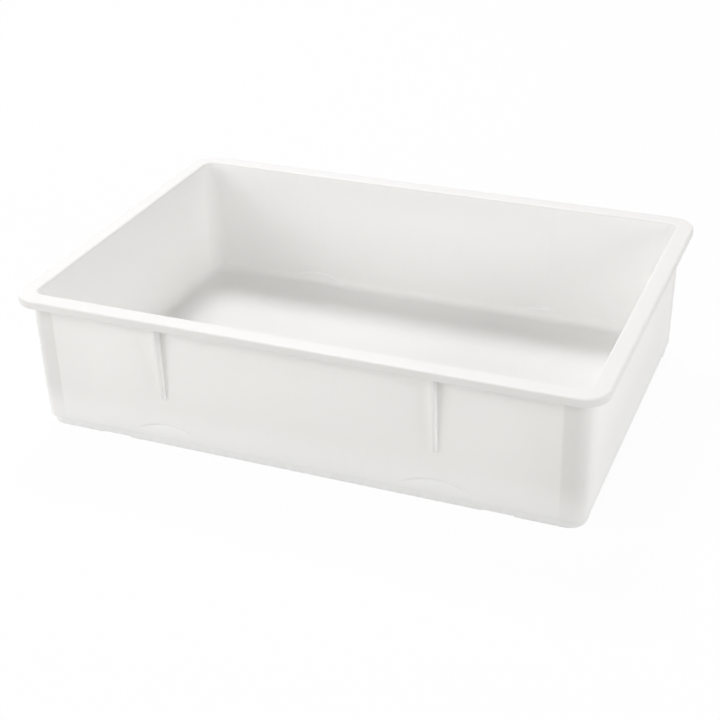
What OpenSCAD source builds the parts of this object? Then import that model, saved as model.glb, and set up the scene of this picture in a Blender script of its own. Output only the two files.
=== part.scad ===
// Dough proofing container: a long, shallow, open tub moulded in one piece.
// It stands on z = 0, centred on the Z axis, with its long sides along X.
// All sizes are in millimetres.

/* [Overall] */
// Length over the rim, along X.
box_l = 660; // [500:1:800]
// Width over the rim, along Y.
box_w = 457; // [360:1:600]
// Height from the ground to the top of the rim.
box_h = 163; // [110:1:240]

/* [Rim] */
// Radius of the rim's outer corners, seen from above.
rim_corner_r = 28; // [24:0.5:45]
// Width of the flat rim on the short sides, to the inner face of the wall.
rim_end_w = 19.2; // [17.5:0.1:25]
// Width of the flat rim on the long sides, to the inner face of the wall.
rim_side_w = 20.4; // [18.5:0.1:26]
// Thickness of the flat rim.
rim_t = 3.6; // [3:0.1:5]
// Height of the rim's turned-down lip, measured from the top of the rim.
lip_h = 9.7; // [7:0.1:16]
// Thickness of the lip.
lip_t = 3; // [2:0.1:4]
// Rounding along the rim's outer top edge.
rim_edge_r = 2.2; // [1:0.1:2.6]
// Rounding along the rim's inner edge, where it turns down into the tub.
mouth_edge_r = 1.8; // [1:0.1:2.6]

/* [Walls and floor] */
// Thickness of the four walls.
wall_t = 5.2; // [3.6:0.1:6]
// How far each wall leans in from the rim to the base.
wall_lean = 2; // [0.5:0.1:4]
// Radius of the wall's outer corners at the top, seen from above.
wall_corner_r = 15; // [12:0.5:26]
// Radius of the upright corners inside the tub at the top, seen from above.
inner_corner_r = 20; // [16:0.5:30]
// Thickness of the floor.
floor_t = 3.5; // [3:0.1:6]
// Radius between the floor and the walls, inside.
floor_fillet_r = 12; // [6:0.5:13]
// Radius along the lower outside edge of the walls.
base_edge_r = 2; // [1:0.1:4]

/* [Foot ring] */
// Height of the foot ring, from the ground to the underside of the floor.
foot_h = 8.3; // [5:0.1:12]
// How far the foot ring is set in from the wall above it.
foot_inset = 2.1; // [0.5:0.1:3]
// Radius of the foot ring's outer corners, seen from above.
foot_corner_r = 19.5; // [14:0.5:26]
// Thickness of the foot ring, seen from below.
foot_t = 5; // [3:0.1:8]
// Distance from the centre line to the near end of each locating notch, along X.
notch_start = 206.5; // [170:0.5:215]
// Length of each locating notch in the foot ring.
notch_l = 34.5; // [20:0.5:45]
// Depth of each locating notch, upward from the ground.
notch_d = 1.2; // [0.8:0.1:3.5]
// Width of the gap in the foot ring on each short side.
end_gap_w = 356; // [200:1:370]

/* [Stiffening ribs] */
// Distance from the centre line to each rib, along X.
rib_x = 156; // [120:1:190]
// Thickness of each rib, seen from the front.
rib_w = 5; // [3:0.1:9]
// Height of the ground below each rib's lower end.
rib_end_z = 61; // [45:1:90]
// How far each rib stands out from the wall, just under the rim.
rib_top_d = 10.5; // [4:0.1:11.5]
// How far each rib stands out from the wall at its lower end.
rib_end_d = 3.4; // [1:0.1:6]

/* [Grip recesses] */
// Distance from the centre line to each grip recess, along X.
grip_x = 156; // [120:1:190]
// Radius of the arc that tops each grip recess.
grip_r = 71; // [50:1:100]
// Height of the arc's highest point above the ground.
grip_top_z = 27.3; // [23:0.1:36]
// Height at which the recess runs out into the wall, above the ground.
grip_low_z = 10.5; // [9:0.1:16]
// Depth of the recess just under the arc.
grip_d = 3; // [1:0.1:3.6]

/* [Hidden] */
$fn = 96;
eps = 0.01;

// Set-in of the wall's outer face from the rim's edge at the top, on the
// short sides and on the long sides.
end_inset = rim_end_w - wall_t;
side_inset = rim_side_w - wall_t;
// Height of the inside floor.
floor_z = foot_h + floor_t;
// Height of the underside of the flat rim.
rim_under_z = box_h - rim_t;

// How far the walls have leaned in at height z, and the corner radius that
// this leaves on their outer and on their inner faces.
function lean_at(z) = wall_lean * (box_h - z) / (box_h - foot_h);
function wall_r(z) = wall_corner_r - lean_at(z);
function inner_r(z) = inner_corner_r - lean_at(z);

// Corner centres of the rim, of the walls outside and inside, and of the foot.
rim_cx = box_l / 2 - rim_corner_r;
rim_cy = box_w / 2 - rim_corner_r;
wall_cx = box_l / 2 - end_inset - wall_corner_r;
wall_cy = box_w / 2 - side_inset - wall_corner_r;
inner_cx = box_l / 2 - rim_end_w - inner_corner_r;
inner_cy = box_w / 2 - rim_side_w - inner_corner_r;
foot_cx = box_l / 2 - end_inset - wall_lean - foot_inset - foot_corner_r;
foot_cy = box_w / 2 - side_inset - wall_lean - foot_inset - foot_corner_r;

// Points of an arc: centre [cr, cz], radius r, from angle a to angle b.
function arc(cr, cz, r, a, b, n) =
    [for (i = [0:n]) [cr + r * cos(a + (b - a) * i / n), cz + r * sin(a + (b - a) * i / n)]];

// A solid with rounded corners in plan. pts runs from the bottom to the top
// of the side, as [distance out from the corner centre, height].
module rounded_solid(cx, cy, pts) {
    n = len(pts);
    side = concat([[0, pts[0][1]]], pts, [[0, pts[n - 1][1]]]);
    // The run along X, with the side's profile on both long sides.
    translate([-cx, 0, 0])
        rotate([90, 0, 90])
            linear_extrude(height = 2 * cx)
                polygon(concat(
                    [for (p = pts) [cy + p[0], p[1]]],
                    [for (i = [n - 1:-1:0]) [-cy - pts[i][0], pts[i][1]]]));
    for (turn = [0, 180])
        rotate([0, 0, turn]) {
            // The run along Y on one short side.
            translate([cx, cy, 0])
                rotate([90, 0, 0])
                    linear_extrude(height = 2 * cy)
                        polygon(side);
            // The two corners that follow it.
            translate([cx, cy, 0])
                rotate_extrude(angle = 90)
                    polygon(side);
            translate([-cx, cy, 0])
                rotate([0, 0, 90])
                    rotate_extrude(angle = 90)
                        polygon(side);
        }
}

// The flat rim with its turned-down lip.
module rim() {
    difference() {
        rounded_solid(rim_cx, rim_cy, concat(
            [[rim_corner_r - 0.6, box_h - lip_h],
             [rim_corner_r, box_h - lip_h + 0.6]],
            arc(rim_corner_r - rim_edge_r, box_h - rim_edge_r, rim_edge_r, 0, 90, 8)));
        rounded_solid(rim_cx, rim_cy,
            [[rim_corner_r - lip_t, box_h - lip_h - 1],
             [rim_corner_r - lip_t, rim_under_z]]);
    }
}

// The outside of the walls and the base as one block.
module wall_block() {
    e = base_edge_r;
    r_base = wall_r(foot_h + e);
    rounded_solid(wall_cx, wall_cy, concat(
        arc(r_base - e, foot_h + e, e, -90, 0, 8),
        [[wall_r(rim_under_z + eps), rim_under_z + eps]]));
}

// The room inside the tub.
module cavity() {
    f = floor_fillet_r;
    m = mouth_edge_r;
    r_floor = inner_r(floor_z + f);
    r_mouth = inner_r(box_h - m);
    rounded_solid(inner_cx, inner_cy, concat(
        arc(r_floor - f, floor_z + f, f, -90, 0, 14),
        [for (p = arc(r_mouth + m, box_h - m, m, 180, 90, 6)) p],
        [[r_mouth + m, box_h + 1]]));
}

// The ring that the tub stands on, with its notches and end gaps.
module foot_ring() {
    r = foot_corner_r;
    difference() {
        rounded_solid(foot_cx, foot_cy,
            [[r - 0.6, 0], [r, 0.6], [r, foot_h + floor_t / 2]]);
        rounded_solid(foot_cx, foot_cy,
            [[r - foot_t, -1], [r - foot_t, foot_h]]);
        for (sx = [-1, 1], sy = [-1, 1])
            translate([sx * (notch_start + notch_l / 2), sy * (foot_cy + r), 0])
                cube([notch_l, 3 * foot_t, 2 * notch_d], center = true);
        for (sx = [-1, 1])
            translate([sx * (foot_cx + r), 0, 0])
                cube([3 * foot_t, end_gap_w, 2 * foot_h], center = true);
    }
}

// One rib on the long side at y < 0: thin, deep under the rim and
// shallow at its rounded lower end.
module rib() {
    wall_y = box_w / 2 - side_inset;
    y_end = wall_y - lean_at(rib_end_z);
    intersection() {
        translate([rib_x + rib_w / 2, 0, 0])
            rotate([90, 0, -90])
                linear_extrude(height = rib_w)
                    polygon([[y_end - wall_t / 2, rib_end_z],
                             [y_end + rib_end_d - 1, rib_end_z],
                             [y_end + rib_end_d, rib_end_z + 3],
                             [wall_y + rib_top_d, rim_under_z + rim_t / 2],
                             [y_end - wall_t / 2, rim_under_z + rim_t / 2]]);
        union() {
            translate([rib_x - rib_w / 2, -box_w / 2, rib_end_z + rib_w / 2])
                cube([rib_w, box_w / 2, box_h]);
            translate([rib_x, 0, rib_end_z + rib_w / 2])
                rotate([90, 0, 0])
                    cylinder(r = rib_w / 2, h = box_w / 2);
        }
    }
}

// The lens under one grip arc on the long side at y < 0: from wall depth
// y_face at the low line, in to a full depth of grip_d at the arc.
module grip_lens(y_face, out) {
    rise = grip_top_z - grip_low_z;
    intersection() {
        translate([grip_x, 0, grip_top_z - grip_r])
            rotate([90, 0, 0])
                cylinder(r = grip_r, h = box_w);
        translate([grip_x + grip_r, 0, 0])
            rotate([90, 0, -90])
                linear_extrude(height = 2 * grip_r)
                    polygon([[y_face, grip_low_z],
                             [y_face - grip_d, grip_top_z + eps],
                             [y_face - grip_d, grip_top_z + 1],
                             [y_face + out, grip_top_z + 1],
                             [y_face + out, grip_low_z]]);
    }
}

// Copies what it is given to both ends of both long sides.
module on_long_sides() {
    for (mx = [0, 1], my = [0, 1])
        mirror([mx, 0, 0])
            mirror([0, my, 0])
                children();
}

// The whole tub: rim, walls, floor, foot ring, ribs and grips in one moulding.
module tub() {
    grip_out_y = box_w / 2 - side_inset - lean_at(grip_low_z);
    color([0.95, 0.95, 0.93]) {
        difference() {
            union() {
                difference() {
                    union() {
                        rim();
                        wall_block();
                        foot_ring();
                        on_long_sides() rib();
                    }
                    cavity();
                }
                on_long_sides() grip_lens(grip_out_y - wall_t, wall_t / 2);
            }
            on_long_sides() grip_lens(grip_out_y, 2 * wall_t);
        }
    }
}

tub();
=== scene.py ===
"""Looks of the dough proofing container: a shallow open tub of white plastic.

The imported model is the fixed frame. This file builds one finer mesh that
stands for the node "tub", its plastic finish, the floor, the lamps and the
camera. Sizes are in millimetres, as in the part's source, and each mesh is
written in metres.
"""

import logging
import math
from dataclasses import dataclass, field
from enum import Enum

import bmesh
import bpy
from mathutils import Matrix, Vector

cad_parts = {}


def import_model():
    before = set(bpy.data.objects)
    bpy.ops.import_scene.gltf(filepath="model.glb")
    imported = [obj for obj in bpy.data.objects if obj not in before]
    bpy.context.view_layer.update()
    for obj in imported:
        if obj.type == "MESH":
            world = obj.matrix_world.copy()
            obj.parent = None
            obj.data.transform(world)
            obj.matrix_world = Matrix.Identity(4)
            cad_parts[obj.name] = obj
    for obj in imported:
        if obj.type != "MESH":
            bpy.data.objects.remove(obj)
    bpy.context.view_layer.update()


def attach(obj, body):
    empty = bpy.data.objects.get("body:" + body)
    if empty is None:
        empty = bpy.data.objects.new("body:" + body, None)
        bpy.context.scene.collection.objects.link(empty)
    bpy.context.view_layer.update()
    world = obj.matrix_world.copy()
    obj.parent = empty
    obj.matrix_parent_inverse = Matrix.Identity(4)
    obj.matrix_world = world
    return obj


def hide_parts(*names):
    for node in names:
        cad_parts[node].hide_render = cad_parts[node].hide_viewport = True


LOG = logging.getLogger("dough_container")
MM = 0.001
SAME_PLACE = 1e-9

Colour = tuple[float, float, float]
WHITE: Colour = (1.0, 1.0, 1.0)

# The Mix node's own numbers for its share and its colour sockets.
MIX_SHARE = 0
MIX_UNDER = 6
MIX_OVER = 7
MIX_RESULT = 2


class Zone(Enum):
    """The stretch of the tub's section that a ring of the mesh lies on."""

    UNDERSIDE = "underside"
    FOOT = "foot"
    WALL = "wall"
    UNDER_RIM = "under_rim"
    LIP = "lip"
    RIM_TOP = "rim_top"
    INSIDE = "inside"
    FLOOR = "floor"


class Side(Enum):
    """The side of the tub that a point of a ring lies on."""

    FRONT = "front"
    RIGHT = "right"
    BACK = "back"
    LEFT = "left"
    CORNER = "corner"


LONG_SIDES = (Side.FRONT, Side.BACK)
SHORT_SIDES = (Side.RIGHT, Side.LEFT)

PlanPoint = tuple[float, float, Side]


def mix(a: float, b: float, t: float) -> float:
    """Gives the number that lies the share t of the way from a to b."""
    return a + (b - a) * t


def spaced(start: float, step: float, count: int) -> list[float]:
    """Gives a number of even steps from a start."""
    return [start + step * i for i in range(count)]


def share01(value: float, low: float, high: float) -> float:
    """Gives how far a number lies from low to high, kept from 0 to 1."""
    return min(1.0, max(0.0, (value - low) / (high - low)))


def blend01(value: float, low: float, high: float) -> float:
    """Gives a smooth step from 0 to 1.

    Args:
        value: The number to place between the two limits.
        low: Where the step starts.
        high: Where the step ends.

    Returns:
        0 below low, 1 above high, and a smooth curve between them.
    """
    t = share01(value, low, high)
    return t * t * (3.0 - 2.0 * t)


def step_at(value: float, place: float, reach: float) -> float:
    """Gives a smooth step from 0 to 1 that is centred on a place."""
    return blend01(value, place - reach, place + reach)


def held(place: float, near: float, far: float) -> list[float]:
    """Gives the four mesh columns that hold a sharp step at a place."""
    return [place - far, place - near, place + near, place + far]


def math_node(
    tree: bpy.types.NodeTree,
    operation: str,
    first: bpy.types.NodeSocket,
    second: bpy.types.NodeSocket | float,
) -> bpy.types.NodeSocket:
    """Adds a Math node that joins two values.

    Args:
        tree: The nodes to add it to.
        operation: Blender's name of the sum.
        first: The first value.
        second: The second value, or a plain number.

    Returns:
        The node's output.
    """
    made = tree.nodes.new("ShaderNodeMath")
    made.operation = operation
    tree.links.new(first, made.inputs[0])
    if isinstance(second, float):
        made.inputs[1].default_value = second
    else:
        tree.links.new(second, made.inputs[1])
    return made.outputs[0]


def seen_share(tree: bpy.types.NodeTree) -> bpy.types.NodeSocket:
    """Adds nodes that tell what is seen from what only lights the tub.

    Args:
        tree: The nodes to add them to.

    Returns:
        1 where the camera looks, straight, in a reflection or through
        something clear, and 0 for plain light.
    """
    path = tree.nodes.new("ShaderNodeLightPath")
    seen = math_node(tree, "MAXIMUM", path.outputs["Is Camera Ray"], path.outputs["Is Glossy Ray"])
    return math_node(tree, "MAXIMUM", seen, path.outputs["Is Transmission Ray"])


def show_mixed(
    tree: bpy.types.NodeTree,
    share: bpy.types.NodeSocket,
    lit: bpy.types.Node,
    seen: bpy.types.Node,
    output_kind: str,
) -> None:
    """Mixes two shaders and hands the result to a new output node.

    Args:
        tree: The nodes to add to.
        share: How much of the second shader shows.
        lit: The shader that plain light meets.
        seen: The shader that the camera meets.
        output_kind: Blender's name of the output node type.
    """
    blend = tree.nodes.new("ShaderNodeMixShader")
    output = tree.nodes.new(output_kind)
    tree.links.new(share, blend.inputs[0])
    tree.links.new(lit.outputs[0], blend.inputs[1])
    tree.links.new(seen.outputs[0], blend.inputs[2])
    tree.links.new(blend.outputs[0], output.inputs["Surface"])


@dataclass(frozen=True)
class Socket:
    """One named input or output of a shader node group."""

    name: str
    is_output: bool = False
    default: float = 1.0


@dataclass(frozen=True)
class Pattern:
    """A noise pattern: patches in a metre, stretch, finer layers and shift."""

    scale: float
    stretch: tuple[float, float, float] = (1.0, 1.0, 1.0)
    detail: float = 3.0
    shift: float = 0.0
    shift_way: tuple[float, float, float] = (1.0, 1.7, 0.6)


class ShaderGroup:
    """A shader node group with named sockets, built once and used by name."""

    def __init__(self, name: str, sockets: list[Socket]) -> None:
        """Makes the empty group.

        Args:
            name: The group's name.
            sockets: Its inputs and outputs, in order.
        """
        self.tree = bpy.data.node_groups.new(name, "ShaderNodeTree")
        for socket in sockets:
            made = self.tree.interface.new_socket(
                name=socket.name,
                in_out="OUTPUT" if socket.is_output else "INPUT",
                socket_type="NodeSocketFloat",
            )
            if not socket.is_output:
                made.default_value = socket.default
        self.source = self.tree.nodes.new("NodeGroupInput")
        self.sink = self.tree.nodes.new("NodeGroupOutput")

    def put_out(self, value: bpy.types.NodeSocket, name: str) -> None:
        """Joins a value to one of the group's outputs."""
        self.tree.links.new(value, self.sink.inputs[name])

    def math(
        self, operation: str, first: bpy.types.NodeSocket, second: bpy.types.NodeSocket
    ) -> bpy.types.NodeSocket:
        """Adds a Math node that joins two values."""
        return math_node(self.tree, operation, first, second)

    def scaled(self, value: bpy.types.NodeSocket, name: str) -> bpy.types.NodeSocket:
        """Gives a value times one of the group's inputs."""
        return self.math("MULTIPLY", value, self.source.outputs[name])

    def mask(self, name: str) -> bpy.types.NodeSocket:
        """Adds a mask that the mesh stores on its points.

        Args:
            name: The mask's name.

        Returns:
            The mask's value.
        """
        made = self.tree.nodes.new("ShaderNodeAttribute")
        made.attribute_name = name
        return made.outputs["Fac"]

    def ramp(self, value: bpy.types.NodeSocket, low: float, high: float) -> bpy.types.NodeSocket:
        """Adds a smooth step from 0 at low to 1 at high.

        Args:
            value: The socket to place between the two limits.
            low: Where the step starts.
            high: Where the step ends.

        Returns:
            The step's output.
        """
        made = self.tree.nodes.new("ShaderNodeMapRange")
        made.interpolation_type = "SMOOTHSTEP"
        made.inputs["From Min"].default_value = low
        made.inputs["From Max"].default_value = high
        self.tree.links.new(value, made.inputs["Value"])
        return made.outputs["Result"]

    def noise(self, pattern: Pattern) -> bpy.types.NodeSocket:
        """Adds a noise pattern fixed to the object.

        Args:
            pattern: The pattern to add.

        Returns:
            The noise value, from 0 to 1.
        """
        place = self.tree.nodes.new("ShaderNodeTexCoord")
        mapping = self.tree.nodes.new("ShaderNodeMapping")
        mapping.inputs["Scale"].default_value = pattern.stretch
        mapping.inputs["Location"].default_value = [pattern.shift * way for way in pattern.shift_way]
        made = self.tree.nodes.new("ShaderNodeTexNoise")
        made.inputs["Scale"].default_value = pattern.scale
        made.inputs["Detail"].default_value = pattern.detail
        self.tree.links.new(place.outputs["Object"], mapping.inputs["Vector"])
        self.tree.links.new(mapping.outputs["Vector"], made.inputs["Vector"])
        return made.outputs["Fac"]


@dataclass(frozen=True)
class MouldedSkin:
    """The faint orange-peel and flow marks of an injection-moulded face."""

    name: str = "moulded_skin"
    peel: Pattern = Pattern(90.0, detail=2.0)
    grain: Pattern = Pattern(1500.0, detail=2.0, shift=3.0)
    flow: Pattern = Pattern(5.0, stretch=(0.7, 1.0, 1.6), shift=1.0)

    def build(self) -> bpy.types.NodeTree:
        """Builds the group.

        Returns:
            The node group. Height feeds a bump; Flow varies slowly, 0 to 1.
        """
        group = ShaderGroup(self.name, [
            Socket("Peel"),
            Socket("Grain"),
            Socket("Height", is_output=True),
            Socket("Flow", is_output=True),
        ])
        peel = group.scaled(group.noise(self.peel), "Peel")
        grain = group.scaled(group.noise(self.grain), "Grain")
        group.put_out(group.math("ADD", peel, grain), "Height")
        group.put_out(group.noise(self.flow), "Flow")
        return group.tree


@dataclass(frozen=True)
class EdgeWear:
    """Rubbed edges, from the mask that the mesh stores on its points."""

    name: str = "edge_wear"
    mask: str = "wear"
    patches: Pattern = Pattern(160.0, detail=4.0, shift=5.0)
    limits: tuple[float, float] = (0.40, 0.66)

    def build(self) -> bpy.types.NodeTree:
        """Builds the group.

        Returns:
            The node group. Wear is 0 on untouched plastic and 1 where it
            is rubbed.
        """
        group = ShaderGroup(self.name, [Socket("Amount"), Socket("Wear", is_output=True)])
        broken = group.ramp(group.noise(self.patches), *self.limits)
        worn = group.math("MULTIPLY", group.mask(self.mask), broken)
        group.put_out(group.scaled(worn, "Amount"), "Wear")
        return group.tree


@dataclass(frozen=True)
class Scuffs:
    """Fine rub marks from stacking, sliding and washing."""

    name: str = "scuffs"
    along_x: Pattern = Pattern(60.0, stretch=(0.35, 9.0, 9.0), detail=4.0, shift=7.0)
    along_y: Pattern = Pattern(60.0, stretch=(9.0, 0.35, 9.0), detail=4.0, shift=11.0)
    patches: Pattern = Pattern(9.0, detail=2.0, shift=2.0)
    limits_x: tuple[float, float] = (0.63, 0.74)
    limits_y: tuple[float, float] = (0.64, 0.75)
    patch_limits: tuple[float, float] = (0.45, 0.65)

    def build(self) -> bpy.types.NodeTree:
        """Builds the group.

        Returns:
            The node group. Scuff is 0 on clean plastic and 1 in a mark.
        """
        group = ShaderGroup(self.name, [Socket("Amount"), Socket("Scuff", is_output=True)])
        lines_x = group.ramp(group.noise(self.along_x), *self.limits_x)
        lines_y = group.ramp(group.noise(self.along_y), *self.limits_y)
        patches = group.ramp(group.noise(self.patches), *self.patch_limits)
        marks = group.math("MULTIPLY", group.math("MAXIMUM", lines_x, lines_y), patches)
        group.put_out(group.scaled(marks, "Amount"), "Scuff")
        return group.tree


@dataclass(frozen=True)
class WhitePlastic:
    """Satin white plastic that lets a little light through."""

    name: str = "white_plastic"
    # The first mask and colour lay painted shade, darker where the tub takes shade; the second lay
    # painted light, lighter where shaded faces are lifted.
    painted_shade_mask: str = "painted_shade"
    thin_mask: str = "thin"
    colour: Colour = (0.914, 0.901, 0.877)
    tired_colour: Colour = (0.895, 0.888, 0.864)
    rubbed_colour: Colour = (0.870, 0.864, 0.845)
    painted_shade_colour: Colour = (0.792, 0.784, 0.762)
    thin_colour: Colour = (0.990, 0.984, 0.966)
    ior: float = 1.49
    roughness: float = 0.36
    rubbed_roughness: float = 0.55
    roughness_drift: float = 0.08
    see_through: float = 0.5
    scatter_length: float = 0.005
    scatter_tint: Colour = (1.0, 0.99, 0.94)
    peel: float = 0.35
    grain: float = 0.10
    bump_height: float = 0.00006
    wear: float = 0.5
    scuff: float = 0.5

    @staticmethod
    def placed(tree: bpy.types.NodeTree, group: bpy.types.NodeTree, **values: float) -> bpy.types.Node:
        """Places one of the shared groups in the material.

        Args:
            tree: The material's nodes.
            group: The shared group.
            values: What to set on the group's inputs, by their names.

        Returns:
            The placed group.
        """
        made = tree.nodes.new("ShaderNodeGroup")
        made.node_tree = group
        for key, value in values.items():
            made.inputs[key].default_value = value
        return made

    @staticmethod
    def toned(
        tree: bpy.types.NodeTree,
        under: bpy.types.NodeSocket | Colour,
        over: Colour,
        share: bpy.types.NodeSocket,
    ) -> bpy.types.NodeSocket:
        """Lays a tone over a colour.

        Args:
            tree: The material's nodes.
            under: The colour below, plain or from another node.
            over: The tone that is laid over it.
            share: How much of the tone shows, from 0 to 1.

        Returns:
            The mixed colour.
        """
        made = tree.nodes.new("ShaderNodeMix")
        made.data_type = "RGBA"
        made.inputs[MIX_OVER].default_value = (*over, 1.0)
        tree.links.new(share, made.inputs[MIX_SHARE])
        if isinstance(under, tuple):
            made.inputs[MIX_UNDER].default_value = (*under, 1.0)
        else:
            tree.links.new(under, made.inputs[MIX_UNDER])
        return made.outputs[MIX_RESULT]

    def build(
        self, skin: bpy.types.NodeTree, wear: bpy.types.NodeTree, scuffs: bpy.types.NodeTree
    ) -> bpy.types.Material:
        """Builds the material.

        Args:
            skin: The moulded skin group.
            wear: The edge wear group.
            scuffs: The scuffs group.

        Returns:
            The finished material.
        """
        material = bpy.data.materials.new(self.name)
        material.use_nodes = True
        tree = material.node_tree
        shader = tree.nodes["Principled BSDF"]
        shader.inputs["IOR"].default_value = self.ior
        shader.inputs["Subsurface Weight"].default_value = self.see_through
        shader.inputs["Subsurface Radius"].default_value = self.scatter_tint
        shader.inputs["Subsurface Scale"].default_value = self.scatter_length

        skin_node = self.placed(tree, skin, Peel=self.peel, Grain=self.grain)
        wear_node = self.placed(tree, wear, Amount=self.wear)
        scuff_node = self.placed(tree, scuffs, Amount=self.scuff)
        flow = skin_node.outputs["Flow"]
        rubbed = math_node(tree, "MAXIMUM", wear_node.outputs["Wear"], scuff_node.outputs["Scuff"])

        shade = self.toned(tree, self.colour, self.tired_colour, flow)
        shade = self.toned(tree, shade, self.rubbed_colour, rubbed)
        # Lays the painted shade, then the painted light, over the plastic's own tones.
        for mask, tone in ((self.painted_shade_mask, self.painted_shade_colour), (self.thin_mask, self.thin_colour)):
            share = tree.nodes.new("ShaderNodeAttribute")
            share.attribute_name = mask
            shade = self.toned(tree, shade, tone, share.outputs["Fac"])
        tree.links.new(shade, shader.inputs["Base Color"])

        rough = tree.nodes.new("ShaderNodeMapRange")
        rough.inputs["To Min"].default_value = self.roughness
        rough.inputs["To Max"].default_value = self.rubbed_roughness
        tree.links.new(rubbed, rough.inputs["Value"])
        drift = math_node(tree, "MULTIPLY", flow, self.roughness_drift)
        drift = math_node(tree, "ADD", drift, rough.outputs["Result"])
        tree.links.new(drift, shader.inputs["Roughness"])

        bump = tree.nodes.new("ShaderNodeBump")
        bump.inputs["Strength"].default_value = 1.0
        bump.inputs["Distance"].default_value = self.bump_height
        tree.links.new(skin_node.outputs["Height"], bump.inputs["Height"])
        tree.links.new(bump.outputs["Normal"], shader.inputs["Normal"])
        return material


@dataclass
class StiffeningRib:
    """A narrow rib under the rim on a long side, rounded at its lower end."""

    x: float = 156.0
    width: float = 5.0
    end_z: float = 61.0
    end_depth: float = 3.4
    top_z: float = 159.4
    top_depth: float = 10.5
    front_round: float = 0.9
    flank: float = 0.45
    flank_lead: float = 0.15
    front_fade: float = 0.35
    sink_depth: float = 0.22
    sink_width: float = 4.0
    sink_below: float = 6.0
    sink_above: float = 10.0
    column_steps: tuple[float, ...] = (-2.5, -0.9, -0.15, 0.12, 0.45, 0.8, 1.35)
    level_steps: tuple[float, ...] = (-1.5, -0.5, 0.0, 0.25, 0.6, 1.1, 1.8)
    level_clear: float = 1.5

    def columns(self) -> list[float]:
        """Gives the X places where the rib needs mesh columns."""
        steps = [s - self.width / 2 for s in self.column_steps] + [0.0]
        return sorted({self.x + s for s in steps} | {self.x - s for s in steps})

    def levels(self) -> list[float]:
        """Gives the heights where the rib's lower end needs mesh rings."""
        half = self.width / 2
        return [self.end_z + s for s in (*self.level_steps, half, half + self.level_clear)]

    def reach(self, x: float, z: float) -> float:
        """Works out how far a point lies inside the rib's outline.

        Args:
            x: Place along the long side, right or left of the centre.
            z: Height above the ground.

        Returns:
            The distance in millimetres, below 0 off the rib.
        """
        half = self.width / 2
        dx = abs(abs(x) - self.x)
        centre_z = self.end_z + half
        return half - (dx if z >= centre_z else math.hypot(dx, z - centre_z))

    def front(self, x: float, z: float) -> float:
        """Gives 1 on the rib's front face and 0 off it, at a place."""
        return step_at(self.reach(x, z), self.flank, self.front_fade)

    def stand_out(self, x: float, z: float) -> float:
        """Works out how far the rib stands out from the wall.

        Args:
            x: Place along the long side, right or left of the centre.
            z: Height above the ground.

        Returns:
            The distance in millimetres, 0 off the rib.
        """
        reach = self.reach(x, z)
        if reach <= -self.flank_lead:
            return 0.0
        depth = mix(self.end_depth, self.top_depth, share01(z, self.end_z, self.top_z))
        shoulder = depth - self.front_round
        if reach < self.flank:
            return shoulder * (reach + self.flank_lead) / (self.flank + self.flank_lead)
        inner = min(1.0, (reach - self.flank) / self.front_round)
        return shoulder + self.front_round * math.sqrt(1.0 - (1.0 - inner) ** 2)

    def sink(self, x: float, z: float) -> float:
        """Works out the faint hollow that the rib leaves inside the wall.

        Args:
            x: Place along the long side.
            z: Height above the ground.

        Returns:
            How far the inside face falls back, in millimetres.
        """
        dx = (abs(x) - self.x) / self.sink_width
        risen = blend01(z, self.end_z - self.sink_below, self.end_z + self.sink_above)
        return self.sink_depth * math.exp(-dx * dx) * risen


@dataclass
class GripRecess:
    """A lens-shaped recess at the foot of a long side, topped by an arc."""

    x: float = 156.0
    arc_r: float = 71.0
    top_z: float = 27.3
    low_z: float = 10.5
    depth: float = 3.0
    curve: float = 1.7
    step: float = 0.9
    inside_step: float = 2.0
    step_lead: float = 0.2
    mesh_half: float = 46.0
    mesh_below: float = 1.0
    mesh_above: float = 2.0
    column_count: int = 56
    level_count: int = 24

    def columns(self) -> list[float]:
        """Gives the X places where the recess needs mesh columns."""
        half, count = self.mesh_half, self.column_count
        return [self.x - half + 2 * half * i / count for i in range(count + 1)]

    def levels(self) -> list[float]:
        """Gives the heights where the recess needs mesh rings."""
        low, high = self.low_z - self.mesh_below, self.top_z + self.mesh_above
        return [mix(low, high, i / self.level_count) for i in range(self.level_count + 1)]

    def cover(self, x: float, z: float, step: float) -> float:
        """Works out how far a point lies inside the lens.

        Args:
            x: Place along the long side.
            z: Height above the ground.
            step: Width of the soft edge under the arc.

        Returns:
            0 outside the lens and 1 well inside its arc.
        """
        inside = self.arc_r - math.hypot(abs(x) - self.x, z - (self.top_z - self.arc_r))
        return blend01(inside, -self.step_lead, step)

    def slope(self, z: float) -> float:
        """Gives the share of the way from the low line up to the arc's top."""
        return share01(z, self.low_z, self.top_z)

    def hollow(self, x: float, z: float, step: float) -> float:
        """Works out how far the wall steps in.

        Args:
            x: Place along the long side.
            z: Height above the ground.
            step: Width over which the face steps in under the arc.

        Returns:
            The distance in millimetres, 0 off the recess.
        """
        return self.depth * self.slope(z) ** self.curve * self.cover(x, z, step)


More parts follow.
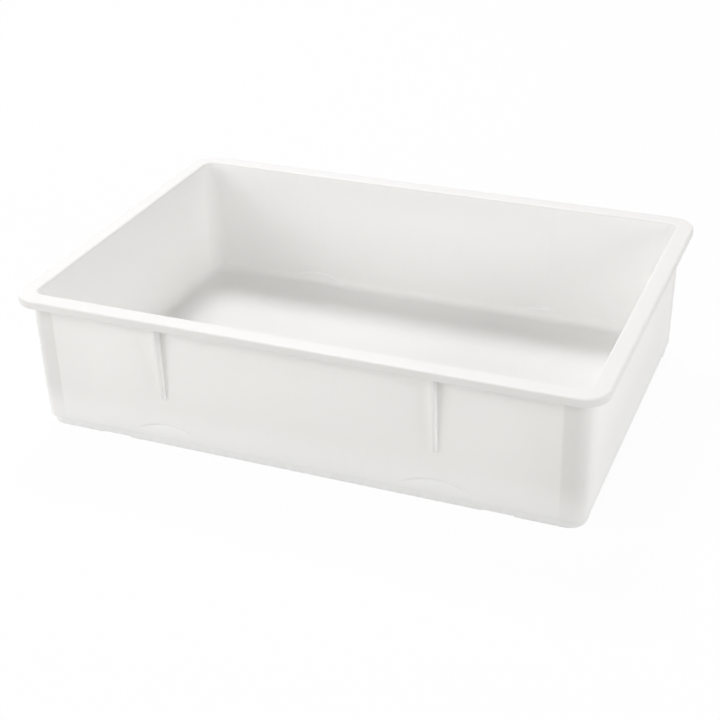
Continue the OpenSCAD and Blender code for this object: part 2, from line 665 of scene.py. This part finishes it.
@dataclass
class FootRing:
    """The ring that the tub stands on, with its notches and end gaps."""

    height: float = 8.3
    inset: float = 2.1
    corner_r: float = 19.5
    thickness: float = 5.0
    edge_round: float = 0.6
    notch_start: float = 206.5
    notch_l: float = 34.5
    notch_depth: float = 1.2
    notch_edge: float = 0.25
    notch_hold: float = 0.9
    end_gap: float = 356.0
    gap_edge: float = 0.3
    gap_hold: float = 1.2
    gap_ledge: float = 0.02

    def notch_ends(self) -> tuple[float, float]:
        """Gives the X places where a notch starts and ends."""
        return self.notch_start, self.notch_start + self.notch_l

    def columns_x(self) -> list[float]:
        """Gives the X places where the notches need mesh columns."""
        return [x for end in self.notch_ends() for x in held(end, self.notch_edge, self.notch_hold)]

    def columns_y(self) -> list[float]:
        """Gives the Y places where the end gaps need mesh columns."""
        return held(self.end_gap / 2, self.gap_edge, self.gap_hold)

    def lift(self, x: float, y: float, side: Side) -> float:
        """Works out how high the ring's underside lies over the ground.

        Args:
            x: Place along the long sides.
            y: Place along the short sides.
            side: The side that the point lies on.

        Returns:
            The height in millimetres, 0 where the ring meets the ground.
        """
        if side in LONG_SIDES:
            near, far = (step_at(abs(x), end, self.notch_edge) for end in self.notch_ends())
            return self.notch_depth * (near - far)
        if side in SHORT_SIDES:
            gap = 1.0 - step_at(abs(y), self.end_gap / 2, self.gap_edge)
            return (self.height - self.gap_ledge) * gap
        return 0.0


@dataclass(frozen=True)
class Ring:
    """One closed ring of the mesh: a rounded rectangle at one height."""

    end_inset: float
    side_inset: float
    corner_r: float
    z: float
    zone: Zone
    share: float = 0.0
    wear: float = 0.0


@dataclass(frozen=True)
class Face:
    """An upright face of the tub, by its set-in from the rim's edge."""

    end_inset: float
    side_inset: float
    corner_r: float

    def ring(
        self, inward: float, z: float, zone: Zone, share: float = 0.0, wear: float = 0.0
    ) -> Ring:
        """Lays a ring inside the face, round the same corner centres.

        Args:
            inward: Distance from the face towards the middle.
            z: Height above the ground.
            zone: The stretch of the section that the ring lies on.
            share: Place along the underside of the rim, from the wall out.
            wear: How rubbed the plastic is there, from 0 to 1.

        Returns:
            The ring.
        """
        ends, sides = self.end_inset + inward, self.side_inset + inward
        return Ring(ends, sides, max(0.0, self.corner_r - inward), z, zone, share, wear)

    def toward(self, other: "Face", t: float) -> "Face":
        """Gives the face that lies the share t of the way to another."""
        return Face(
            mix(self.end_inset, other.end_inset, t),
            mix(self.side_inset, other.side_inset, t),
            mix(self.corner_r, other.corner_r, t),
        )


@dataclass
class Tub:
    """The whole tub: rim, walls, floor and foot ring in one moulding."""

    length: float = 660.0
    width: float = 457.0
    height: float = 163.0
    rim_corner_r: float = 28.0
    rim_end_w: float = 19.2
    rim_side_w: float = 20.4
    rim_t: float = 3.6
    lip_h: float = 9.7
    lip_t: float = 3.0
    lip_hollow_r: float = 0.8
    rim_edge_r: float = 2.2
    mouth_edge_r: float = 1.8
    mouth_corner_r: float = 13.0
    mouth_settle: float = 34.0
    wall_t: float = 5.2
    wall_lean: float = 2.0
    wall_corner_r: float = 15.0
    inner_corner_r: float = 20.0
    floor_t: float = 3.5
    floor_fillet_r: float = 12.0
    base_edge_r: float = 2.0
    cap_inset: float = 45.0
    steady_x: float = 245.0
    steady_y: float = 180.0
    steady_share: float = 0.35
    column_gap: float = 0.8
    post_x: float = 286.5
    post_y: float = 184.5
    post_edge: float = 2.0
    post_fade: float = 60.0
    # Strengths of the painted shade (the fields named for shade) and the painted light (the fields
    # named for light) that the masks lay into the plastic's colour.
    post_shade: float = 0.3
    lip_shade: float = 0.95
    lip_fade: float = 0.3
    end_shade: float = 0.3
    curve_shade: float = 0.25
    curve_low: float = 3.0
    curve_high: float = 28.0
    floor_shade: float = 0.35
    floor_fade: float = 75.0
    rib_shade: float = 0.6
    inside_light: float = 0.48
    corner_light: float = 0.95
    base_light: float = 0.65
    lens_fade: float = 0.25
    base_fade: float = 60.0
    foot_light: float = 1.0
    corner_steps: int = 16
    even_weight: int = 60
    rib: StiffeningRib = field(default_factory=StiffeningRib)
    grip: GripRecess = field(default_factory=GripRecess)
    foot: FootRing = field(default_factory=FootRing)

    def lean_at(self, z: float) -> float:
        """Gives how far the wall has leaned in at a height."""
        return self.wall_lean * (self.height - z) / (self.height - self.foot.height)

    def floor_z(self) -> float:
        """Gives the height of the inside floor."""
        return self.foot.height + self.floor_t

    def rim_face(self) -> Face:
        """Gives the lip's outer face."""
        return Face(0.0, 0.0, self.rim_corner_r)

    def wall_face(self) -> Face:
        """Gives the wall's outer face at the top."""
        return Face(self.rim_end_w - self.wall_t, self.rim_side_w - self.wall_t, self.wall_corner_r)

    def mouth_face(self) -> Face:
        """Gives the wall's inner face just under the rim."""
        return Face(self.rim_end_w, self.rim_side_w, self.mouth_corner_r)

    def inner_face(self) -> Face:
        """Gives the wall's inner face lower down, where its corners are wider."""
        return Face(self.rim_end_w, self.rim_side_w, self.inner_corner_r)

    def foot_face(self) -> Face:
        """Gives the foot ring's outer face."""
        wall = self.wall_face()
        inset = self.wall_lean + self.foot.inset
        return Face(wall.end_inset + inset, wall.side_inset + inset, self.foot.corner_r)

    def cap_face(self) -> Face:
        """Gives the square-cornered outline round the grids of the floor."""
        return Face(self.cap_inset, self.cap_inset, 0.0)

    def columns_x(self) -> list[float]:
        """Gives the mesh columns of a long side, from left to right."""
        half = self.length / 2 - self.wall_face().end_inset - self.wall_corner_r
        sharp = set(self.rib.columns()) | set(self.foot.columns_x())
        plain = set(self.grip.columns()) | set(spaced(0.0, 10.0, 11))
        plain |= {self.steady_x, mix(self.steady_x, half, self.steady_share)}
        plain |= {self.post_x, self.post_x + self.post_edge}
        kept = {v for v in plain if all(abs(p - v) >= self.column_gap for p in sharp)} | sharp
        return sorted({-v for v in kept} | kept)

    def columns_y(self) -> list[float]:
        """Gives the mesh columns of a short side, from front to back."""
        kept = set(spaced(0.0, 14.0, 13)) | set(self.foot.columns_y()) | {self.steady_y}
        kept = {v for v in kept if v <= self.steady_y} | {self.post_y, self.post_y + self.post_edge}
        return sorted({-v for v in kept} | kept)

    def underside_rings(self) -> list[Ring]:
        """Lists the rings of the underside and the foot ring.

        Returns:
            The rings, from the middle out and up to the wall's lower edge.
        """
        foot, face = self.foot, self.foot_face()
        deep, er = foot.thickness, foot.edge_round
        inner = Face(face.end_inset + deep, face.side_inset + deep, face.corner_r - deep)
        return [
            self.cap_face().ring(0.0, foot.height, Zone.UNDERSIDE),
            inner.toward(self.cap_face(), 0.4).ring(0.0, foot.height, Zone.UNDERSIDE),
            face.ring(deep + 3.0, foot.height, Zone.UNDERSIDE),
            face.ring(deep + 1.0, foot.height, Zone.UNDERSIDE),
            face.ring(deep + 0.3, foot.height - 0.3, Zone.FOOT),
            face.ring(deep, foot.height - 1.0, Zone.FOOT),
            face.ring(deep, er + 0.8, Zone.FOOT),
            face.ring(deep, er, Zone.FOOT, wear=0.6),
            face.ring(deep - er * 0.3, er * 0.3, Zone.FOOT, wear=1.0),
            face.ring(deep - er, 0.0, Zone.FOOT, wear=1.0),
            face.ring(deep / 2, 0.0, Zone.FOOT, wear=0.9),
            face.ring(er, 0.0, Zone.FOOT, wear=1.0),
            face.ring(er * 0.3, er * 0.3, Zone.FOOT, wear=1.0),
            face.ring(0.0, er, Zone.FOOT, wear=0.8),
            face.ring(0.0, er + 1.2, Zone.FOOT, wear=0.3),
            face.ring(0.0, foot.height - 1.0, Zone.FOOT),
            face.ring(0.0, foot.height - 0.2, Zone.FOOT),
        ]

    def wall_rings(self) -> list[Ring]:
        """Lists the rings of the wall's outside, from its lower edge up.

        Returns:
            The rings, up to the place where the wall meets the rim.
        """
        face, edge = self.wall_face(), self.base_edge_r
        edge_z = self.foot.height + edge
        centre = self.lean_at(edge_z) + edge
        made: list[Ring] = []
        for i in range(7):
            angle = math.radians(-90.0 + 15.0 * i)
            made.append(face.ring(
                centre - edge * math.cos(angle),
                edge_z + edge * math.sin(angle),
                Zone.WALL,
                wear=0.5 - i * 0.08,
            ))
        under_z = self.height - self.rim_t
        levels = {z for z in self.grip.levels() + self.rib.levels() if z > edge_z + 0.4}
        levels |= {34.0, 40.0, 47.0, 54.0} | set(spaced(72.0, 7.0, 12))
        levels |= {under_z - 4.0, under_z - 2.0}
        made.extend(face.ring(self.lean_at(z), z, Zone.WALL) for z in sorted(levels))
        made.append(face.ring(self.lean_at(under_z) - 0.3, under_z - 0.7, Zone.WALL))
        made.append(face.ring(self.lean_at(under_z) - 1.0, under_z, Zone.WALL))
        return made

    def rim_rings(self) -> list[Ring]:
        """Lists the rings of the rim and its turned-down lip.

        Returns:
            The rings, from the wall, under and round the lip and over the
            rim's flat to its rounded inner edge.
        """
        under_z, lip_z = self.height - self.rim_t, self.height - self.lip_h
        rim, wall, mouth = self.rim_face(), self.wall_face(), self.mouth_face()
        inset = self.lip_t + self.lip_hollow_r
        hollow = Face(inset, inset, self.rim_corner_r - self.lip_t - self.lip_hollow_r)
        made = [
            wall.toward(hollow, t).ring(0.0, under_z, Zone.UNDER_RIM, share=t)
            for t in (0.25, 0.6, 0.85)
        ]
        made += [
            rim.ring(inset, under_z, Zone.LIP),
            rim.ring(self.lip_t + 0.2, under_z - 0.25, Zone.LIP),
            rim.ring(self.lip_t, under_z - 1.0, Zone.LIP),
            rim.ring(self.lip_t, lip_z + 0.7, Zone.LIP),
            rim.ring(self.lip_t - 0.2, lip_z + 0.2, Zone.LIP, wear=0.3),
            rim.ring(self.lip_t - 0.7, lip_z, Zone.LIP, wear=0.4),
            rim.ring(0.8, lip_z, Zone.LIP, wear=0.5),
            rim.ring(0.25, lip_z + 0.22, Zone.LIP, wear=0.7),
            rim.ring(0.0, lip_z + 0.8, Zone.LIP, wear=0.6),
            rim.ring(0.0, lip_z + 1.8, Zone.LIP, wear=0.2),
            rim.ring(0.0, self.height - self.rim_edge_r - 0.8, Zone.LIP, wear=0.2),
        ]
        for i in range(8):
            angle = math.radians(90.0 * i / 7)
            inward = self.rim_edge_r * (1.0 - math.cos(angle))
            z = self.height - self.rim_edge_r * (1.0 - math.sin(angle))
            made.append(rim.ring(inward, z, Zone.LIP, wear=0.8))
        edge, turn = self.rim_edge_r, self.mouth_edge_r
        outer = Face(edge, edge, self.rim_corner_r - edge)
        inner = Face(mouth.end_inset - turn, mouth.side_inset - turn, mouth.corner_r + turn)
        for t, wear in ((0.06, 0.45), (0.35, 0.3), (0.65, 0.3), (0.94, 0.45)):
            made.append(outer.toward(inner, t).ring(0.0, self.height, Zone.RIM_TOP, wear=wear))
        for i in range(7):
            angle = math.radians(90.0 * i / 6)
            z = self.height - turn * (1.0 - math.cos(angle))
            made.append(inner.ring(turn * math.sin(angle), z, Zone.RIM_TOP, wear=0.6 - 0.08 * i))
        return made

    def inside_rings(self) -> list[Ring]:
        """Lists the rings of the inner walls and the floor.

        Returns:
            The rings, from just under the rim to the middle of the floor.
        """
        fillet = self.floor_fillet_r
        fillet_z = self.floor_z() + fillet
        levels = {z for z in self.grip.levels() if z > fillet_z + 0.4}
        levels |= {34.0, 41.0, 48.0, 56.0, 63.0, 70.0} | set(spaced(78.0, 8.0, 10))
        levels.add(self.height - self.mouth_edge_r - 1.0)
        made: list[Ring] = []
        for z in sorted(levels, reverse=True):
            settled = blend01(self.height - z, 2.0, self.mouth_settle)
            face = self.mouth_face().toward(self.inner_face(), settled)
            made.append(face.ring(self.lean_at(z), z, Zone.INSIDE))
        face, centre = self.inner_face(), self.lean_at(fillet_z) + fillet
        for i in range(19):
            angle = math.radians(5.0 * i)
            made.append(face.ring(
                centre - fillet * math.cos(angle),
                fillet_z - fillet * math.sin(angle),
                Zone.INSIDE,
            ))
        floor = Face(face.end_inset + centre, face.side_inset + centre, face.corner_r - centre)
        for t in (0.1, 0.5, 1.0):
            made.append(floor.toward(self.cap_face(), t).ring(0.0, self.floor_z(), Zone.FLOOR))
        return made

    def rings(self) -> list[Ring]:
        """Lists all rings of the tub's section, in order round the section."""
        return self.underside_rings() + self.wall_rings() + self.rim_rings() + self.inside_rings()

    @staticmethod
    def spread(columns: list[float], steady: float, base: float, half: float) -> list[float]:
        """Moves the columns near a side's ends along with its corners.

        Args:
            columns: The columns as they stand on the wall at the top.
            steady: How far from the middle the columns stay put.
            base: Where the side ends on the wall at the top.
            half: Where the side ends on this ring.

        Returns:
            The columns as they stand on this ring.
        """
        moved: list[float] = []
        for value in columns:
            if abs(value) > steady:
                place = mix(steady, half, (abs(value) - steady) / (base - steady))
                moved.append(math.copysign(place, value))
            else:
                moved.append(value)
        return moved

    def arc(self, radius: float, cx: float, cy: float, start: float) -> list[PlanPoint]:
        """Lays out the points of one rounded corner.

        Args:
            radius: The corner's radius.
            cx: The corner centre's place along X.
            cy: The corner centre's place along Y.
            start: The angle in degrees at which the quarter turn starts.

        Returns:
            Each point's X, Y and side.
        """
        steps = self.corner_steps
        turns = [math.radians(start + 90.0 * i / steps) for i in range(steps + 1)]
        return [(cx + radius * math.cos(a), cy + radius * math.sin(a), Side.CORNER) for a in turns]

    def outline(self, ring: Ring) -> list[PlanPoint]:
        """Lays a ring's points out in plan.

        Args:
            ring: The ring to lay out.

        Returns:
            Each point's X, Y and side, from the front left corner round.
        """
        radius = ring.corner_r
        half_x = self.length / 2 - ring.end_inset - radius
        half_y = self.width / 2 - ring.side_inset - radius
        wall = self.wall_face()
        base_x = self.length / 2 - wall.end_inset - wall.corner_r
        base_y = self.width / 2 - wall.side_inset - wall.corner_r
        xs = self.spread(self.columns_x(), self.steady_x, base_x, half_x)
        ys = self.spread(self.columns_y(), self.steady_y, base_y, half_y)
        reach_x, reach_y = half_x + radius, half_y + radius
        points = self.arc(radius, -half_x, -half_y, 180.0)
        points += [(x, -reach_y, Side.FRONT) for x in xs]
        points += self.arc(radius, half_x, -half_y, 270.0)
        points += [(reach_x, y, Side.RIGHT) for y in ys]
        points += self.arc(radius, half_x, half_y, 0.0)
        points += [(x, reach_y, Side.BACK) for x in reversed(xs)]
        points += self.arc(radius, -half_x, half_y, 90.0)
        points += [(-reach_x, y, Side.LEFT) for y in reversed(ys)]
        return points

    def shaped(self, ring: Ring, x: float, y: float, side: Side) -> tuple[float, float, float]:
        """Moves a point of a ring to follow the ribs, recesses and notches.

        Args:
            ring: The ring that the point belongs to.
            x: The point's place along X.
            y: The point's place along Y.
            side: The side that the point lies on.

        Returns:
            The point's final place, in millimetres.
        """
        z = ring.z
        long_side = side in LONG_SIDES
        outward = -1.0 if y < 0 else 1.0
        if ring.zone is Zone.FOOT:
            lift = self.foot.lift(x, y, side)
            z = lift + z * (self.foot.height - lift) / self.foot.height
        elif ring.zone is Zone.WALL and long_side:
            y += outward * (self.rib.stand_out(x, z) - self.grip.hollow(x, z, self.grip.step))
        elif ring.zone is Zone.UNDER_RIM and long_side:
            y += outward * self.rib.stand_out(x, z) * (1.0 - ring.share)
        elif ring.zone is Zone.INSIDE and long_side:
            y += outward * (self.rib.sink(x, z) - self.grip.hollow(x, z, self.grip.inside_step))
        return x, y, z

    def off_wall(self, x: float, y: float) -> float:
        """Works out how far a place on the floor lies from the walls.

        Args:
            x: The place along X.
            y: The place along Y.

        Returns:
            0 at the edge of the flat floor and 1 well away from it.
        """
        from_end = self.length / 2 - self.rim_end_w - abs(x)
        from_side = self.width / 2 - self.rim_side_w - abs(y)
        return blend01(min(from_end, from_side), self.floor_fillet_r, self.floor_fade)

    def post_share(self, x: float, y: float, side: Side) -> float:
        """Gives 1 beside an upright corner, fading out along its side."""
        reach, near = (self.post_x, abs(x)) if side in LONG_SIDES else (self.post_y, abs(y))
        return blend01(near, reach - self.post_fade, reach)

    def painted_shade_share(self, ring: Ring, x: float, y: float, side: Side) -> float:
        """Works out where painted shade darkens the plastic: the lip's face, the crease and flat of
        the inside floor, the upright corners and the ribs' fronts.

        Args:
            ring: The ring that the point belongs to.
            x: The point's place along X.
            y: The point's place along Y.
            side: The side that the point lies on.

        Returns:
            0 on a plain wall, and 1 where the painted shade's colour shows in full, on the upright
            corners.
        """
        # Painted shade on the lip's face under the rim.
        if ring.zone is Zone.LIP:
            top = blend01(ring.z, self.height - self.rim_edge_r, self.height - self.lip_fade)
            return self.lip_shade * (1.0 - top)
        # Painted shade in the crease at the foot of the inner walls.
        if ring.zone is Zone.INSIDE:
            low, high = self.floor_z() + self.curve_low, self.floor_z() + self.curve_high
            return self.curve_shade * (1.0 - blend01(ring.z, low, high))
        # Painted shade over the floor, from the crease to its middle.
        if ring.zone is Zone.FLOOR:
            return mix(self.curve_shade, self.floor_shade, self.off_wall(x, y))
        if ring.zone is not Zone.WALL:
            return 0.0
        # Painted shade on the upright corners, the posts beside them and the ribs' fronts.
        if side is Side.CORNER:
            turned = (abs(y) - (self.width / 2 - ring.side_inset - ring.corner_r)) / ring.corner_r
            return mix(self.end_shade, 1.0, turned * turned)
        if side in LONG_SIDES:
            crisp = blend01(abs(x), self.post_x, self.post_x + self.post_edge)
            post = mix(self.post_shade * self.post_share(x, y, side), 1.0, crisp)
            return max(post, self.rib_shade * self.rib.front(x, ring.z))
        return self.end_shade * blend01(abs(y), self.post_y, self.post_y + self.post_edge)

    def thin_share(self, ring: Ring, x: float, y: float, side: Side) -> float:
        """Works out where painted light lifts the plastic: the foot ring, the lower walls, the
        recesses, the ribs' shaded flanks and the inner walls and corners.

        Args:
            ring: The ring that the point belongs to.
            x: The point's place along X.
            y: The point's place along Y.
            side: The side that the point lies on.

        Returns:
            0 on the plain walls, and 1 where the painted light's colour shows in full, such as on the
            foot ring and the ribs' shaded flanks.
        """
        long_side = side in LONG_SIDES
        z = ring.z
        # Painted light on the foot ring.
        if ring.zone is Zone.FOOT:
            return self.foot_light
        # Painted light on the lower wall, the recesses and the ribs' flanks.
        if ring.zone is Zone.WALL:
            base_z = self.foot.height + self.base_edge_r
            light = self.base_light * (1.0 - blend01(z, base_z, self.base_fade))
            if long_side:
                cover = self.grip.cover(x, z, self.grip.step)
                light = max(light, self.grip.slope(z) ** self.lens_fade * cover)
            if long_side and self.rib.stand_out(x, z) > 0.0:
                light = max(light, 1.0 - self.rib.front(x, z))
            return light
        # Painted light on the inner walls, strongest at the corners and in the recesses' bumps.
        if ring.zone is Zone.INSIDE:
            corner = 1.0 if side is Side.CORNER else self.post_share(x, y, side)
            light = mix(self.inside_light, self.corner_light, corner)
            if long_side:
                light = max(light, self.grip.slope(z) * self.grip.cover(x, z, self.grip.inside_step))
            return light
        # Painted light at the floor's edge by the walls.
        if ring.zone is Zone.FLOOR:
            return self.inside_light * (1.0 - self.off_wall(x, y))
        return 0.0

    def mark(
        self, made: bmesh.types.BMesh, vert: bmesh.types.BMVert, ring: Ring, plan: PlanPoint
    ) -> None:
        """Stores the wear mask and the painted shade and painted light masks on a point of the mesh.

        Args:
            made: The mesh being built.
            vert: The point.
            ring: The ring that the point belongs to.
            plan: The point's X, Y and side, before it follows the ribs.
        """
        layers = made.verts.layers.float
        vert[layers["wear"]] = ring.wear
        vert[layers["painted_shade"]] = self.painted_shade_share(ring, *plan)
        vert[layers["thin"]] = self.thin_share(ring, *plan)

    def loop(self, made: bmesh.types.BMesh, ring: Ring) -> list[bmesh.types.BMVert]:
        """Adds the points of one ring to the mesh.

        Args:
            made: The mesh being built.
            ring: The ring.

        Returns:
            One entry for each point of the ring's outline. All entries of a
            square corner are the same point.
        """
        loop: list[bmesh.types.BMVert] = []
        for plan in self.outline(ring):
            place = Vector(self.shaped(ring, *plan)) * MM
            square = ring.corner_r == 0.0 and plan[2] is Side.CORNER
            if square and loop and (place - loop[-1].co).length < SAME_PLACE:
                loop.append(loop[-1])
                continue
            loop.append(made.verts.new(place))
            self.mark(made, loop[-1], ring, plan)
        return loop

    def mesh(self) -> bpy.types.Mesh:
        """Builds the tub's closed mesh.

        Returns:
            The mesh, in metres, with its wear mask and its painted shade and painted light masks on
            the points.
        """
        made = bmesh.new()
        # The wear mask marks real rubbing; the other two carry painted shade and painted light.
        for mask in ("wear", "painted_shade", "thin"):
            made.verts.layers.float.new(mask)
        rings = self.rings()
        loops = [self.loop(made, ring) for ring in rings]
        for low, high in zip(loops, loops[1:]):
            for i in range(len(low)):
                j = (i + 1) % len(low)
                corners = list(dict.fromkeys((low[i], low[j], high[j], high[i])))
                if len(corners) >= 3:
                    made.faces.new(corners)
        self.fill(made, loops[0], rings[0])
        self.fill(made, loops[-1], rings[-1])
        bmesh.ops.recalc_face_normals(made, faces=made.faces[:])
        for face in made.faces:
            face.smooth = True
        mesh = bpy.data.meshes.new("tub_moulding")
        made.to_mesh(mesh)
        made.free()
        return mesh

    def fill(self, made: bmesh.types.BMesh, loop: list[bmesh.types.BMVert], ring: Ring) -> None:
        """Closes one end of the section with a flat grid.

        Args:
            made: The mesh being built.
            loop: The points of the square-cornered ring round the grid.
            ring: That ring's place and zone.
        """
        arc = self.corner_steps + 1
        across, deep = len(self.columns_x()), len(self.columns_y())
        front = [loop[0]] + loop[arc:arc + across] + [loop[arc + across]]
        right_start = 2 * arc + across
        right = loop[right_start:right_start + deep]
        back_start = right_start + deep
        back = [loop[back_start]] + loop[back_start + arc:back_start + arc + across]
        back_end = back_start + arc + across
        back = back + [loop[back_end]]
        left = loop[back_end + arc:back_end + arc + deep]
        rows: list[list[bmesh.types.BMVert]] = [front]
        for row in range(deep):
            start, end = left[deep - 1 - row], right[row]
            line = [start]
            for column in range(across):
                vert = made.verts.new((front[column + 1].co.x, start.co.y, start.co.z))
                self.mark(made, vert, ring, (vert.co.x / MM, vert.co.y / MM, Side.FRONT))
                line.append(vert)
            line.append(end)
            rows.append(line)
        rows.append(back[::-1])
        for low, high in zip(rows, rows[1:]):
            for i in range(len(low) - 1):
                made.faces.new((low[i], low[i + 1], high[i + 1], high[i]))

    def build(self, finish: bpy.types.Material) -> bpy.types.Object:
        """Makes the tub's object and ties it to the frame.

        Args:
            finish: The plastic's material.

        Returns:
            The finished object.
        """
        mesh = self.mesh()
        mesh.materials.append(finish)
        piece = bpy.data.objects.new("tub_moulding", mesh)
        bpy.context.scene.collection.objects.link(piece)
        evener = piece.modifiers.new("even_normals", "WEIGHTED_NORMAL")
        evener.weight = self.even_weight
        evener.keep_sharp = True
        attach(piece, "root")
        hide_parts("tub")
        LOG.info("tub: %d points, %d faces", len(mesh.vertices), len(mesh.polygons))
        return piece


@dataclass(frozen=True)
class PhotoCamera:
    """The camera at the photograph's viewing angle, in millimetres and degrees."""

    lens: float = 73.3
    sensor: float = 36.0
    azimuth: float = 22.66
    elevation: float = 28.82
    roll: float = -1.31
    target: tuple[float, float, float] = (-2.30, -24.90, 41.81)
    distance: float = 1704.86
    clip_end: float = 50000.0

    def build(self) -> bpy.types.Object:
        """Makes the camera and sets it as the scene's camera.

        Returns:
            The camera.
        """
        az, el, roll = (math.radians(v) for v in (self.azimuth, self.elevation, self.roll))
        back = Vector((math.sin(az) * math.cos(el), -math.cos(az) * math.cos(el), math.sin(el)))
        right = Vector((0.0, 0.0, 1.0)).cross(back).normalized()
        up = back.cross(right)
        right_rolled = math.cos(roll) * right + math.sin(roll) * up
        up_rolled = -math.sin(roll) * right + math.cos(roll) * up
        data = bpy.data.cameras.new("photo_camera")
        data.lens = self.lens
        data.sensor_width = self.sensor
        data.sensor_fit = "HORIZONTAL"
        data.clip_end = self.clip_end * MM
        camera = bpy.data.objects.new("photo_camera", data)
        place = (Vector(self.target) + back * self.distance) * MM
        turn = Matrix((right_rolled, up_rolled, back)).transposed().to_4x4()
        camera.matrix_world = Matrix.Translation(place) @ turn
        bpy.context.scene.collection.objects.link(camera)
        bpy.context.scene.camera = camera
        LOG.info("camera: %s", camera.name)
        return camera


@dataclass(frozen=True)
class SoftLamp:
    """One rectangular studio lamp, in metres and watts."""

    name: str
    place: tuple[float, float, float]
    power: float
    size: tuple[float, float] = (1.2, 1.2)
    colour: Colour = WHITE
    aim: tuple[float, float, float] = (0.0, 0.0, 0.08)

    def build(self) -> bpy.types.Object:
        """Makes the lamp.

        Returns:
            The lamp, pointed at its aim.
        """
        data = bpy.data.lights.new(self.name, "AREA")
        data.shape = "RECTANGLE"
        data.size, data.size_y = self.size
        data.energy = self.power
        data.color = self.colour
        lamp = bpy.data.objects.new(self.name, data)
        lamp.location = self.place
        direction = Vector(self.aim) - Vector(self.place)
        lamp.rotation_euler = direction.to_track_quat("-Z", "Y").to_euler()
        bpy.context.scene.collection.objects.link(lamp)
        LOG.info("lamp: %s", self.name)
        return lamp


@dataclass(frozen=True)
class Studio:
    """A pale floor, an even white surround and soft lamps."""

    floor_size: float = 14.0
    floor_colour: Colour = (0.92, 0.92, 0.92)
    floor_show: float = 0.96
    surround: float = 0.25
    lamps: tuple[SoftLamp, ...] = (
        SoftLamp("key_softbox", (-1.35, 1.95, 3.6), 98.0, colour=(0.972, 0.966, 1.0)),
        SoftLamp("front_softbox", (-1.0, -2.0, 1.7), 10.0),
        SoftLamp("left_softbox", (-2.2, -1.2, 1.7), 8.0),
        SoftLamp("low_softbox", (-1.85, -1.9, 0.95), 16.5),
        SoftLamp("right_softbox", (2.35, -0.6, 0.9), 21.0, size=(1.0, 1.0)),
    )

    def floor_finish(self) -> bpy.types.Material:
        """Builds the floor's finish, matte to light and pale to the camera.

        Returns:
            The material.
        """
        material = bpy.data.materials.new("studio_floor")
        material.use_nodes = True
        tree = material.node_tree
        tree.nodes.clear()
        matte = tree.nodes.new("ShaderNodeBsdfDiffuse")
        matte.inputs["Color"].default_value = (*self.floor_colour, 1.0)
        glow = tree.nodes.new("ShaderNodeEmission")
        glow.inputs["Color"].default_value = (*WHITE, 1.0)
        glow.inputs["Strength"].default_value = 1.0
        share = math_node(tree, "MULTIPLY", seen_share(tree), self.floor_show)
        show_mixed(tree, share, matte, glow, "ShaderNodeOutputMaterial")
        return material

    def floor(self) -> bpy.types.Object:
        """Makes the floor, white to the camera but for the tub's shadow.

        Returns:
            The floor.
        """
        made = bmesh.new()
        half = self.floor_size / 2
        made.faces.new([
            made.verts.new((x * half, y * half, 0.0))
            for x, y in ((-1, -1), (1, -1), (1, 1), (-1, 1))
        ])
        mesh = bpy.data.meshes.new("studio_floor")
        made.to_mesh(mesh)
        made.free()
        mesh.materials.append(self.floor_finish())
        floor = bpy.data.objects.new("studio_floor", mesh)
        bpy.context.scene.collection.objects.link(floor)
        LOG.info("floor: %s", floor.name)
        return floor

    def world(self) -> None:
        """Sets the surround: white to the camera, softer as light."""
        world = bpy.data.worlds.new("studio_surround")
        bpy.context.scene.world = world
        world.use_nodes = True
        tree = world.node_tree
        tree.nodes.clear()
        light = tree.nodes.new("ShaderNodeBackground")
        shown = tree.nodes.new("ShaderNodeBackground")
        for node, strength in ((light, self.surround), (shown, 1.0)):
            node.inputs["Color"].default_value = (*WHITE, 1.0)
            node.inputs["Strength"].default_value = strength
        show_mixed(tree, seen_share(tree), light, shown, "ShaderNodeOutputWorld")

    def build(self) -> None:
        """Builds the floor, the surround and the lamps."""
        self.floor()
        self.world()
        for lamp in self.lamps:
            lamp.build()


def main() -> None:
    """Builds the tub, its finish, the camera and the studio."""
    logging.basicConfig(level=logging.INFO, format="%(name)s %(message)s")
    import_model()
    bpy.context.scene.view_settings.view_transform = "Standard"
    PhotoCamera().build()
    plastic = WhitePlastic().build(MouldedSkin().build(), EdgeWear().build(), Scuffs().build())
    Tub().build(plastic)
    Studio().build()


if __name__ == "__main__":
    main()
